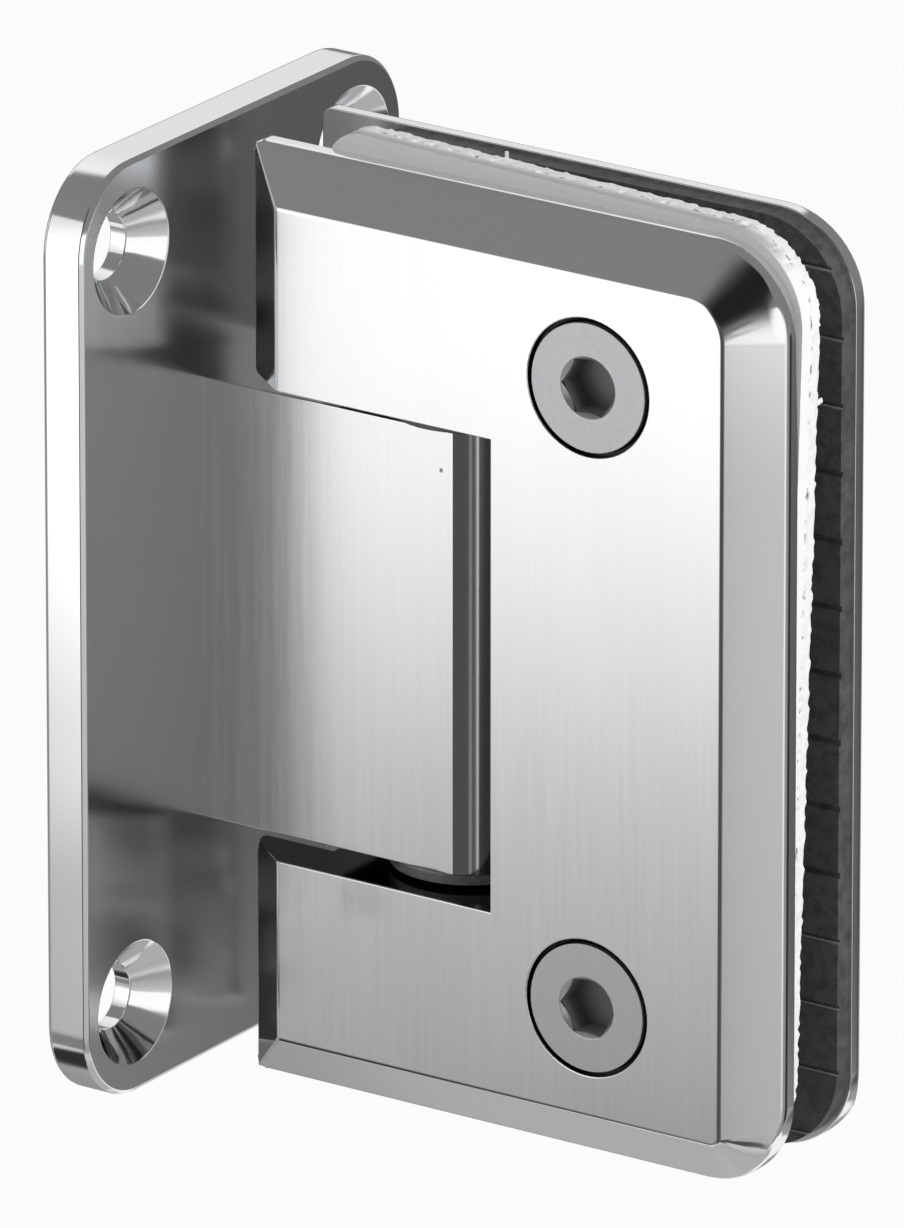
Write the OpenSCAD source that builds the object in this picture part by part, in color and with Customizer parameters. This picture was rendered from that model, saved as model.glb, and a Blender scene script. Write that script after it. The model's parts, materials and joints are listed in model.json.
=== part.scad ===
// Wall-to-glass door hinge: a wall bracket with a knuckle, a two-leaf glass clamp that swings
// about a square-sided pin, and two sprung plungers that click onto the pin's flats.
// Frame: origin at the middle of the wall plate's back face, +X out from the wall,
// +Y away from the clamp's screw side, +Z up along the pivot axis. Millimetres.

/* [Wall plate] */
// Width of the wall plate, across the wall
plate_w = 51; // [50:0.5:60]
// Height of the wall plate
plate_h = 90; // [88:1:110]
// Thickness of the wall plate
plate_t = 4.5; // [4:0.1:6]
// Corner radius of the wall plate
plate_r = 8; // [5:0.5:10]
// Width of the break along the plate's front edge
plate_break = 0.4; // [0.2:0.1:0.8]
// Spacing of the wall screw holes across the wall
bolt_pitch_y = 35.5; // [32:0.5:37]
// Spacing of the wall screw holes up the wall
bolt_pitch_z = 72.5; // [68:0.5:74]
// Diameter of the wall screw holes
bolt_hole_d = 6.2; // [5:0.1:6.6]
// Diameter of the countersinks at the plate's face
bolt_sink_d = 11.8; // [10:0.1:12.4]

/* [Knuckle and pivot] */
// Distance of the pivot axis from the wall
axis_x = 29.5; // [28:0.5:34]
// Height of the knuckle
knuckle_h = 42.6; // [40:0.2:44]
// Thickness of the knuckle between its flat faces
knuckle_t = 14; // [13.6:0.1:14.6]
// Radius of the knuckle's round nose about the pivot axis
nose_r = 7.5; // [7.4:0.1:8]
// Diameter of the pivot pin
pin_d = 8; // [7.6:0.1:8.2]
// Width across the pin's four flats
pin_flats = 6.4; // [6.2:0.1:6.8]
// Height of the pin's square-sided middle
pin_square_h = 25; // [24.5:0.1:25.5]
// Radial running gap of the pin in its bushes
pin_fit = 0.03; // [0.02:0.01:0.08]
// Outside diameter of the bush sleeves
bush_d = 10; // [9.6:0.1:10.4]
// Depth of the bush sleeves in the knuckle
bush_len = 8; // [6:0.5:8.5]
// Thickness of the bush flanges
flange_t = 0.9; // [0.6:0.1:1]

/* [Plungers] */
// Height of the plunger bores above and below the middle
plunger_z = 8; // [7.5:0.1:8.4]
// Diameter of the plunger bores
plunger_bore_d = 8; // [7.6:0.1:8.2]
// Radial sliding gap of the plungers
plunger_fit = 0.05; // [0.03:0.01:0.09]
// Length of a plunger
plunger_len = 12; // [10:0.5:13]
// Thickness of the solid nose of a plunger
plunger_nose = 4; // [3:0.5:5]
// Gap between a drawn-back plunger and the pin's corners
plunger_back = 0.1; // [0.05:0.05:0.2]
// Wire diameter of the plunger springs
wire_d = 0.9; // [0.7:0.1:1]
// Outside diameter of the plunger springs
spring_d = 6; // [5.6:0.1:6.2]
// Number of turns in a plunger spring
spring_turns = 7.5; // [6.5:0.5:9]
// Diameter of the threaded plugs behind the springs
plug_d = 10; // [9.4:0.1:10.4]
// Length of the threaded plugs
plug_len = 5.4; // [4.5:0.1:6]
// Depth of the plugs below the plate's back face
plug_inset = 0.6; // [0.4:0.1:1]

/* [Clamp leaves] */
// Width of the leaves
leaf_w = 58; // [56:0.5:62]
// Height of the leaves
leaf_h = 90; // [88:1:96]
// Reach of the leaves past the pivot axis towards the wall
leaf_back = 19.5; // [18:0.5:20]
// Height of the upright rim below the bevel
leaf_rim = 1.5; // [1.2:0.1:2.5]
// Width of the bevel, seen from the front
bevel_w = 4.85; // [4:0.05:5.5]
// Depth of the bevel
bevel_d = 3.7; // [3:0.1:4.2]
// Radius of the leaves' two free corners
free_r = 8.5; // [8:0.5:11]
// Radius of the leaves' two corners on the wall side
wall_side_r = 1.2; // [0.8:0.1:2]
// Gap between the leaves
glass_gap = 9.4; // [9.2:0.1:10]
// Height of the notch that clears the knuckle
notch_h = 45.4; // [44.8:0.1:47]
// Reach of the notch past the pivot axis
notch_reach = 8.8; // [8.4:0.1:10]
// Height of the two pin blocks on the front leaf
block_h = 14; // [12:0.5:16]
// Reach of the pin blocks past the pivot axis, on the glass side
block_reach = 6; // [5.5:0.1:6.5]
// Reach of the pin blocks past the pivot axis, on the wall side
block_back = 12; // [10:0.5:14]
// Depth of the pockets that take the pin blocks in the back leaf
pocket_depth = 1.7; // [1.4:0.1:2]
// Gap between the pin blocks and the pockets
block_gap = 0.4; // [0.3:0.1:0.8]

/* [Clamp screws] */
// Distance of the clamp screws from the pivot axis
screw_reach = 19.35; // [18.5:0.05:24]
// Height of the clamp screws above and below the middle
screw_z = 29.7; // [28:0.1:32]
// Diameter of the clamp screws
screw_d = 6; // [5:0.5:6]
// Diameter of the clamp screw heads
head_d = 12.2; // [11.6:0.1:12.8]
// Height of the straight rim of the heads
head_rim = 0.6; // [0.4:0.1:0.8]
// Width of the ring groove around the heads
ring_gap = 0.45; // [0.3:0.05:0.6]
// Width across the flats of the hex sockets
hex_flats = 5; // [4:0.5:5]
// Depth of the hex sockets
hex_depth = 2.8; // [2.2:0.1:3.2]
// Diameter of the lead-in around the hex sockets
hex_mouth_d = 5.9; // [5.6:0.1:6.2]
// Diameter of the threaded pads on the back leaf
pad_d = 12; // [11:0.5:13]
// Height of the threaded pads
pad_h = 1.6; // [1.2:0.1:1.8]
// Metal left over the blind threads of the back leaf
pad_skin = 1; // [0.8:0.1:1.4]
// Outside diameter of the sleeves around the clamp screws
sleeve_d = 9; // [8.6:0.1:9.4]
// Diameter of the two pin lock screws
lock_d = 5; // [4:0.5:5]
// Length of the two pin lock screws
lock_len = 7; // [5:0.5:7.5]

/* [Gaskets] */
// Thickness of the front gasket
front_gasket_t = 3; // [2:0.1:3.2]
// Thickness of the back gasket
back_gasket_t = 1.8; // [1.2:0.1:2]
// Clockwise turn of the loosely laid front gasket, seen from the front, in degrees
gasket_turn = 1.5; // [0:0.1:1.8]
// Lift of the front gasket above the middle of its leaf
gasket_lift = 1.3; // [0:0.1:1.4]
// Set back of the front gasket from the leaf's wall side
gasket_inset = 6; // [5:0.1:8]
// Pitch of the grooves across the back gasket
groove_pitch = 6.4; // [5:0.1:8]
// Height of the groove nearest to the middle of the back gasket
groove_shift = 2.2; // [0:0.1:3]
// Width of the grooves across the back gasket
groove_w = 0.6; // [0.4:0.1:1]
// Depth of the grooves across the back gasket
groove_depth = 0.3; // [0.2:0.1:0.5]

/* [Hidden] */
$fn = 96;
// Overshoot of a cutter past the face it opens
over = 1;

// Leaf edges, measured from the wall
leaf_x0 = axis_x - leaf_back;
leaf_x1 = leaf_x0 + leaf_w;
leaf_t = leaf_rim + bevel_d;
notch_x1 = axis_x + notch_reach;
screw_x = axis_x + screw_reach;
block_t = glass_gap + pocket_depth - block_gap;

// Pin block and pin levels
block_z0 = notch_h / 2;
lock_z = block_z0 + block_h / 2;
pin_half = block_z0 + block_h - 0.5;
lock_flat = 0.5;
pin_chamfer = 0.6;

// Levels of a clamp screw, measured outward from the front leaf's inner face
head_cone_h = (head_d - screw_d) / 2;
screw_hole_d = screw_d + 0.6;
thread_end = glass_gap + leaf_t - pad_skin;
screw_end = thread_end - 0.3;
hex_turn = 0;
hex_mouth_h = 0.5;

// Stations along a plunger bore, measured from the wall
plunger_nose_x = axis_x - pin_d / 2 - plunger_back;
plunger_x0 = plunger_nose_x - plunger_len;
plunger_floor_x = plunger_nose_x - plunger_nose;
plug_face_x = plug_inset + plug_len;
cup_d = spring_d + 0.4;
plunger_chamfer = 0.5;

// Gasket windows around the knuckle, the pin blocks and the screws
knuckle_window_x = notch_x1 + 1.2;
knuckle_window_h = notch_h + 3;
block_window_x = axis_x + block_reach + 1.8;
block_window_h = notch_h + 2 * block_h + 5;
sleeve_window_d = sleeve_d + 4;
pad_window_d = pad_d + 1;
front_gasket_x0 = leaf_x0 + gasket_inset;
front_gasket_x1 = leaf_x1 - 0.6;
front_gasket_r0 = 3.5;
front_gasket_r1 = 8.5;
back_gasket_inset = 0.4;

// A flat outline from x0 to x1, with corners of radius r0 at x0 and r1 at x1
module panel(x0, x1, h, r0, r1) {
    translate([x0 + r0, -h / 2])
        square([x1 - x0 - r0 - r1, h]);
    translate([x0, -h / 2 + r0])
        square([r0 + 0.01, h - 2 * r0]);
    translate([x1 - r1 - 0.01, -h / 2 + r1])
        square([r1 + 0.01, h - 2 * r1]);
    for (side = [-1, 1]) {
        translate([x0 + r0, side * (h / 2 - r0)])
            circle(r = r0);
        translate([x1 - r1, side * (h / 2 - r1)])
            circle(r = r1);
    }
}

// A straight bevel cutter along Y: it takes what lies above a slope of width w and depth d,
// whose low edge is at X = 0 and height z0, on a piece that lies at +X
module bevel_bar(length, w, d, z0) {
    rotate([90, 0, 0])
        linear_extrude(length, center = true)
            polygon([[-over * w / d, z0 - over], [w + over * w / d, z0 + d + over],
                     [-over * w / d, z0 + d + over]]);
}

// The same slope, turned around a corner of radius r
module bevel_corner(r, w, d, z0) {
    rotate_extrude(angle = 90)
        polygon([[r + over * w / d, z0 - over], [r - w - over * w / d, z0 + d + over],
                 [r + over * w / d, z0 + d + over]]);
}

// Cutters that bevel a panel with sharp corners at x0 and round corners at x1
module panel_bevel(x0, x1, h, r1, w, d, z0) {
    top_len = x1 - r1 - x0 + 2 * over;
    top_x = x1 - r1 - top_len / 2;
    translate([x0, 0, 0])
        bevel_bar(h + 4 * over, w, d, z0);
    translate([x1, 0, 0])
        mirror([1, 0, 0])
            bevel_bar(h - 2 * r1, w, d, z0);
    for (side = [-1, 1])
        translate([top_x, side * h / 2, 0])
            rotate([0, 0, -90 * side])
                bevel_bar(top_len, w, d, z0);
    translate([x1 - r1, h / 2 - r1, 0])
        bevel_corner(r1, w, d, z0);
    translate([x1 - r1, -h / 2 + r1, 0])
        rotate([0, 0, -90])
            bevel_corner(r1, w, d, z0);
}

// Stands a piece drawn in (X, Z, outward) onto the front leaf's inner face
module on_front() {
    translate([0, -glass_gap / 2, 0])
        rotate([90, 0, 0])
            children();
}

// The same for the back leaf
module on_back() {
    mirror([0, 1, 0])
        on_front()
            children();
}

// Centred slab across Y and Z that starts at height z0 of X, with round corners
module wall_slab(w, h, t, r) {
    rotate([0, 90, 0])
        linear_extrude(t)
            panel(-h / 2, h / 2, w, r, r);
}

// Plan of the knuckle, from the plate to its round nose
module knuckle_plan() {
    translate([plate_t / 2, -knuckle_t / 2])
        square([axis_x - plate_t / 2, knuckle_t]);
    intersection() {
        translate([axis_x, 0])
            circle(r = nose_r);
        translate([axis_x - nose_r, -knuckle_t / 2])
            square([2 * nose_r, knuckle_t]);
    }
}

// Wall screw hole with its countersink
module bolt_hole() {
    sink_h = (bolt_sink_d - bolt_hole_d) / 2;
    translate([-over, 0, 0])
        rotate([0, 90, 0])
            cylinder(d = bolt_hole_d, h = plate_t + 2 * over);
    translate([plate_t - sink_h, 0, 0])
        rotate([0, 90, 0])
            cylinder(d1 = bolt_hole_d, d2 = bolt_sink_d, h = sink_h);
    translate([plate_t - 0.001, 0, 0])
        rotate([0, 90, 0])
            cylinder(d = bolt_sink_d, h = over);
}

// Plate and knuckle, cast in one
module wall_bracket() {
    color("silver")
        difference() {
            union() {
                difference() {
                    wall_slab(plate_w, plate_h, plate_t, plate_r);
                    plate_edge_break();
                }
                translate([0, 0, -knuckle_h / 2])
                    linear_extrude(knuckle_h)
                        knuckle_plan();
            }
            for (y = [-1, 1], z = [-1, 1])
                translate([0, y * bolt_pitch_y / 2, z * bolt_pitch_z / 2])
                    bolt_hole();
            for (z = [-1, 1]) {
                translate([-over, 0, z * plunger_z])
                    rotate([0, 90, 0])
                        cylinder(d = plunger_bore_d, h = axis_x + over);
                translate([-over, 0, z * plunger_z])
                    rotate([0, 90, 0])
                        cylinder(d = plug_d, h = plug_face_x + over);
                translate([axis_x, 0, z * (knuckle_h / 2 - bush_len / 2 + over / 2)])
                    cylinder(d = bush_d, h = bush_len + over, center = true);
            }
            translate([axis_x, 0, 0])
                cylinder(d = pin_d + 0.8, h = knuckle_h, center = true);
        }
}

// Break along the plate's front edge, as a frame that is taken off
module plate_edge_break() {
    low = plate_t - plate_break;
    half_w = plate_w / 2;
    half_h = plate_h / 2;
    rotate([0, 90, 0]) {
        for (side = [-1, 1]) {
            translate([side * half_h, 0, 0])
                rotate([0, 0, 90 + 90 * side])
                    bevel_bar(plate_w - 2 * plate_r, plate_break, plate_break, low);
            translate([0, side * half_w, 0])
                rotate([0, 0, -90 * side])
                    bevel_bar(plate_h - 2 * plate_r, plate_break, plate_break, low);
        }
        for (turn = [0 : 3]) {
            sx = turn == 0 || turn == 3 ? 1 : -1;
            sy = turn < 2 ? 1 : -1;
            translate([sx * (half_h - plate_r), sy * (half_w - plate_r), 0])
                rotate([0, 0, 90 * turn])
                    bevel_corner(plate_r, plate_break, plate_break, low);
        }
    }
}

// Flanged bush in one end of the knuckle, drawn for the top and mirrored for the bottom
module bush(side) {
    color("dimgray")
        mirror([0, 0, side > 0 ? 0 : 1])
            translate([axis_x, 0, knuckle_h / 2])
                difference() {
                    union() {
                        cylinder(r = nose_r, h = flange_t);
                        translate([0, 0, -bush_len])
                            cylinder(d = bush_d, h = bush_len);
                    }
                    translate([0, 0, -bush_len - over])
                        cylinder(d = pin_d + 2 * pin_fit, h = bush_len + flange_t + 2 * over);
                }
}

// Pin with a square-sided middle, and a flat at each end for its lock screw
module pivot_pin() {
    flat_x = pin_d / 2 - lock_flat;
    color("gray")
        translate([axis_x, 0, 0])
            difference() {
                union() {
                    cylinder(d = pin_d, h = 2 * (pin_half - pin_chamfer), center = true);
                    for (side = [0, 1])
                        mirror([0, 0, side])
                            translate([0, 0, pin_half - pin_chamfer])
                                cylinder(d1 = pin_d, d2 = pin_d - 2 * pin_chamfer, h = pin_chamfer);
                }
                for (turn = [0 : 90 : 270])
                    rotate([0, 0, turn])
                        translate([pin_flats / 2, -pin_d / 2, -pin_square_h / 2])
                            cube([pin_d, pin_d, pin_square_h]);
                for (side = [-1, 1])
                    translate([-flat_x - pin_d, -pin_d / 2, side * lock_z - lock_d / 2 - 0.5])
                        cube([pin_d, pin_d, lock_d + 1]);
            }
}

// Cup-shaped plunger with a flat nose, drawn back clear of the pin's corners
module plunger(side) {
    d = plunger_bore_d - 2 * plunger_fit;
    color("gray")
        translate([plunger_x0, 0, side * plunger_z])
            rotate([0, 90, 0])
                difference() {
                    union() {
                        cylinder(d = d, h = plunger_len - plunger_chamfer);
                        translate([0, 0, plunger_len - plunger_chamfer])
                            cylinder(d1 = d, d2 = d - 2 * plunger_chamfer, h = plunger_chamfer);
                    }
                    translate([0, 0, -over])
                        cylinder(d = cup_d, h = plunger_floor_x - plunger_x0 + over);
                }
}

// Distance along a spring at a number of turns, with its two end turns closed up
function coil_x(turns, length) =
    let (closed = wire_d + 0.08)
    turns < 1 ? turns * closed
    : turns > spring_turns - 1 ? length - (spring_turns - turns) * closed
    : closed + (turns - 1) * (length - 2 * closed) / (spring_turns - 2);

// Coiled wire between the plug and the floor of the plunger's cup
module coil_spring(side) {
    wire_sides = 8;
    turn_steps = 12;
    rings = spring_turns * turn_steps;
    coil_r = (spring_d - wire_d) / 2;
    end_gap = wire_d / 2 + 0.02;
    length = plunger_floor_x - plug_face_x - 2 * end_gap;
    points = [for (i = [0 : rings], j = [0 : wire_sides - 1])
        let (turn = 360 * i / turn_steps, around = 360 * j / wire_sides,
             r = coil_r + wire_d / 2 * cos(around))
        [coil_x(i / turn_steps, length) + wire_d / 2 * sin(around), r * cos(turn), r * sin(turn)]];
    walls = [for (i = [0 : rings - 1], j = [0 : wire_sides - 1])
        let (a = i * wire_sides + j, b = i * wire_sides + (j + 1) % wire_sides)
        [a, a + wire_sides, b + wire_sides, b]];
    start = [for (j = [0 : wire_sides - 1]) j];
    finish = [for (j = [wire_sides - 1 : -1 : 0]) rings * wire_sides + j];
    color("lightsteelblue")
        translate([plug_face_x + end_gap, 0, side * plunger_z])
            polyhedron(points, concat([start], walls, [finish]));
}

// Threaded plug behind a spring, with a hex socket in its back
module spring_plug(side) {
    color("dimgray")
        translate([plug_inset, 0, side * plunger_z])
            rotate([0, 90, 0])
                difference() {
                    cylinder(d = plug_d, h = plug_len);
                    translate([0, 0, -over])
                        cylinder(d = hex_flats / cos(30), h = plug_len / 2 + over, $fn = 6);
                }
}

// Bevelled leaf with the notch for the knuckle, drawn in (X, Z, outward)
module leaf_blank() {
    difference() {
        linear_extrude(leaf_t)
            panel(leaf_x0, leaf_x1, leaf_h, wall_side_r, free_r);
        panel_bevel(leaf_x0, leaf_x1, leaf_h, free_r, bevel_w, bevel_d, leaf_rim);
        translate([leaf_x0 - over, -notch_h / 2, -over])
            cube([notch_x1 - leaf_x0 + over, notch_h, leaf_t + 2 * over]);
    }
}

// Front leaf with the two pin blocks cast on its inner face
module front_leaf() {
    color("silver")
        difference() {
            on_front() {
                leaf_blank();
                for (side = [0, 1])
                    mirror([0, side, 0])
                        translate([axis_x - block_back, block_z0, -block_t])
                            cube([block_back + block_reach, block_h, block_t + leaf_rim]);
            }
            translate([axis_x, 0, 0])
                cylinder(d = pin_d, h = 2 * (block_z0 + block_h + over), center = true);
            for (side = [-1, 1]) {
                translate([axis_x - block_back - over, 0, side * lock_z])
                    rotate([0, 90, 0])
                        cylinder(d = lock_d, h = block_back + over);
                on_front()
                    translate([screw_x, side * screw_z, 0])
                        head_seat();
            }
        }
}

// Hole, cone and ring groove for a flush clamp screw
module head_seat() {
    cone_top = leaf_t - head_rim;
    translate([0, 0, -over])
        cylinder(d = screw_hole_d, h = leaf_t + 2 * over);
    translate([0, 0, cone_top - head_cone_h])
        cylinder(d1 = screw_d, d2 = head_d, h = head_cone_h);
    translate([0, 0, cone_top])
        cylinder(d = head_d + 2 * ring_gap, h = head_rim + over);
}

// Back leaf with a pocket for each pin block and a threaded pad for each clamp screw
module back_leaf() {
    color("silver")
        difference() {
            on_back() {
                leaf_blank();
                for (side = [-1, 1])
                    translate([screw_x, side * screw_z, -pad_h])
                        cylinder(d = pad_d, h = pad_h + leaf_rim);
            }
            for (side = [0, 1])
                on_back()
                    mirror([0, side, 0])
                        translate([axis_x - block_back - 0.6, block_z0 - over, -over])
                            cube([block_back + block_reach + 1.2, block_h + 0.6 + over,
                                  pocket_depth + over]);
            for (side = [-1, 1])
                on_back()
                    translate([screw_x, side * screw_z, -pad_h - over])
                        cylinder(d = screw_d, h = thread_end - glass_gap + pad_h + over);
        }
}

// Flush countersunk screw with a hex socket
module clamp_screw(side) {
    cone_top = leaf_t - head_rim;
    color("lightgray")
        on_front()
            translate([screw_x, side * screw_z, 0])
                difference() {
                    union() {
                        translate([0, 0, cone_top])
                            cylinder(d = head_d, h = head_rim);
                        translate([0, 0, cone_top - head_cone_h])
                            cylinder(d1 = screw_d, d2 = head_d, h = head_cone_h);
                        translate([0, 0, -screw_end])
                            cylinder(d = screw_d, h = screw_end + cone_top - head_cone_h);
                    }
                    translate([0, 0, leaf_t - hex_depth])
                        rotate([0, 0, hex_turn])
                            cylinder(d = hex_flats / cos(30), h = hex_depth + over, $fn = 6);
                    translate([0, 0, leaf_t - hex_mouth_h])
                        cylinder(d1 = hex_mouth_d - 2 * hex_mouth_h,
                                 d2 = hex_mouth_d + 2 * over, h = hex_mouth_h + over);
                }
}

// Headless screw that presses on the pin's end flat from the wall side
module lock_screw(side) {
    tip_x = axis_x - pin_d / 2 + lock_flat;
    color("dimgray")
        translate([tip_x - lock_len, 0, side * lock_z])
            rotate([0, 90, 0])
                difference() {
                    cylinder(d = lock_d, h = lock_len);
                    translate([0, 0, -over])
                        cylinder(d = lock_d / 2 / cos(30), h = lock_len / 2 + over, $fn = 6);
                }
}

// Sleeve that keeps the glass off a clamp screw
module sleeve(side) {
    length = glass_gap - pad_h - 0.1;
    color("ivory")
        on_front()
            translate([screw_x, side * screw_z, -length])
                difference() {
                    cylinder(d = sleeve_d, h = length);
                    translate([0, 0, -over])
                        cylinder(d = screw_d + 0.5, h = length + 2 * over);
                }
}

// Windows that both gaskets need, around the knuckle and the pin blocks
module gasket_windows() {
    translate([leaf_x0 - 2 * over, -knuckle_window_h / 2])
        square([knuckle_window_x - leaf_x0 + 2 * over, knuckle_window_h]);
    translate([leaf_x0 - 2 * over, -block_window_h / 2])
        square([block_window_x - leaf_x0 + 2 * over, block_window_h]);
}

// Pale gasket, laid loosely so that its wall-side corner stands above the leaf
module front_gasket() {
    mid_x = (front_gasket_x0 + front_gasket_x1) / 2;
    color("white")
        on_front()
            translate([mid_x, gasket_lift, -front_gasket_t])
                rotate([0, 0, -gasket_turn])
                    translate([-mid_x, 0, 0])
                        linear_extrude(front_gasket_t)
                            difference() {
                                panel(front_gasket_x0, front_gasket_x1, leaf_h,
                                      front_gasket_r0, front_gasket_r1);
                                gasket_windows();
                                for (side = [-1, 1])
                                    translate([screw_x, side * screw_z])
                                        circle(d = sleeve_window_d);
                            }
}

// Black gasket with shallow grooves across its glass side
module back_gasket() {
    grooves = floor(leaf_h / 2 / groove_pitch);
    color("black")
        on_back()
            translate([0, 0, -back_gasket_t])
                difference() {
                    linear_extrude(back_gasket_t)
                        difference() {
                            panel(leaf_x0 + gasket_inset, leaf_x1 - back_gasket_inset,
                                  leaf_h - 2 * back_gasket_inset, front_gasket_r0, front_gasket_r1);
                            gasket_windows();
                            for (side = [-1, 1])
                                translate([screw_x, side * screw_z])
                                    circle(d = pad_window_d);
                        }
                    for (i = [-grooves : grooves])
                        translate([leaf_x0, i * groove_pitch + groove_shift - groove_w / 2, -over])
                            cube([leaf_w + over, groove_w, groove_depth + over]);
                }
}

wall_bracket();
bush(1);  // upper_bush
bush(-1);  // lower_bush
plunger(1);  // upper_plunger
plunger(-1);  // lower_plunger
coil_spring(1);  // upper_spring
coil_spring(-1);  // lower_spring
spring_plug(1);  // upper_spring_plug
spring_plug(-1);  // lower_spring_plug
front_leaf();
back_leaf();
pivot_pin();
lock_screw(1);  // upper_lock_screw
lock_screw(-1);  // lower_lock_screw
clamp_screw(1);  // upper_clamp_screw
clamp_screw(-1);  // lower_clamp_screw
sleeve(1);  // upper_sleeve
sleeve(-1);  // lower_sleeve
front_gasket();
back_gasket();
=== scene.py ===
"""Wall-to-glass door hinge: finishes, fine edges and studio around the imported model."""

from __future__ import annotations

import functools
import json
import logging
import math
import random
from collections.abc import Callable
from dataclasses import dataclass
from enum import Enum

import bmesh
import bpy
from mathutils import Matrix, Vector

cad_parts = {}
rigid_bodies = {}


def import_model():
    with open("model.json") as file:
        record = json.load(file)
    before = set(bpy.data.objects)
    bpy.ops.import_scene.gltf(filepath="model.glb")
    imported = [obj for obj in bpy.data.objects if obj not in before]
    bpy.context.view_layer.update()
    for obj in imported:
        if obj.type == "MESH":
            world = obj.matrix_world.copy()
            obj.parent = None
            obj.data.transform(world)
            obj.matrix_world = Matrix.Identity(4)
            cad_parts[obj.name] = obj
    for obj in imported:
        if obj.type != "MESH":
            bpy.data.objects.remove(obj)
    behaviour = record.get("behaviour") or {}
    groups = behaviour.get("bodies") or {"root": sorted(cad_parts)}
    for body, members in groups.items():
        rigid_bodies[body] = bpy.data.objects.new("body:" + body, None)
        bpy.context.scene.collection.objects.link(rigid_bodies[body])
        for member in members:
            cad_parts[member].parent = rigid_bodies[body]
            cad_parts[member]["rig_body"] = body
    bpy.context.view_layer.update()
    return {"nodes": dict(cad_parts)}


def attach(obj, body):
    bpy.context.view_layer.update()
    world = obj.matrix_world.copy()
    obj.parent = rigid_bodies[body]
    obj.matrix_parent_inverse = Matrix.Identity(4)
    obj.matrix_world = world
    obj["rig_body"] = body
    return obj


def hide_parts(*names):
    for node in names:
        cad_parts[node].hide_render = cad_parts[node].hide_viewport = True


MM = 0.001
LOG = logging.getLogger("hinge")
WELD = 0.002 * MM
ON_PLANE = 0.01 * MM
FLAT_ANGLE = 0.3
NOISE_LOW, NOISE_HIGH = 0.3, 0.7
EVEN = (1.0, 1.0, 1.0)

Form = bmesh.types.BMesh
Material = bpy.types.Material
Piece = bpy.types.Object
Socket = bpy.types.NodeSocket
Colour = tuple[float, float, float]
Reshape = Callable[[Form], None]

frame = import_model()


class Side(Enum):
    """Upper or lower twin of a part, by the sign of its height."""

    UPPER = 1
    LOWER = -1

    @property
    def word(self) -> str:
        """Word that starts the twin's node names."""
        return self.name.lower()


class Grain(Enum):
    """How a metal surface is worked, by the factor on each axis that draws its marks out."""

    TURNED = (0.06, 0.06, 1.0)
    PLAIN = EVEN


@dataclass(frozen=True)
class HingeSizes:
    """Driving sizes of the hinge, in millimetres, as the source of the solids has them."""

    plate_t: float = 4.5
    leaf_face_y: float = 9.9
    leaf_x0: float = 10.0
    leaf_x1: float = 68.0
    leaf_h: float = 90.0
    free_r: float = 8.5
    bevel_w: float = 4.85
    bevel_h: float = 3.7
    low_corner_r: float = 0.8
    notch_x: float = 38.3
    notch_h: float = 45.4
    screw_x: float = 48.85
    screw_z: float = 29.7
    ring_d: float = 13.1


@dataclass(frozen=True)
class Place:
    """Where a shaded point lies and which way its surface faces, on the object's own axes."""

    vector: Socket
    x: Socket
    y: Socket
    z: Socket
    facing_x: Socket
    facing_y: Socket
    facing_z: Socket


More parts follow.
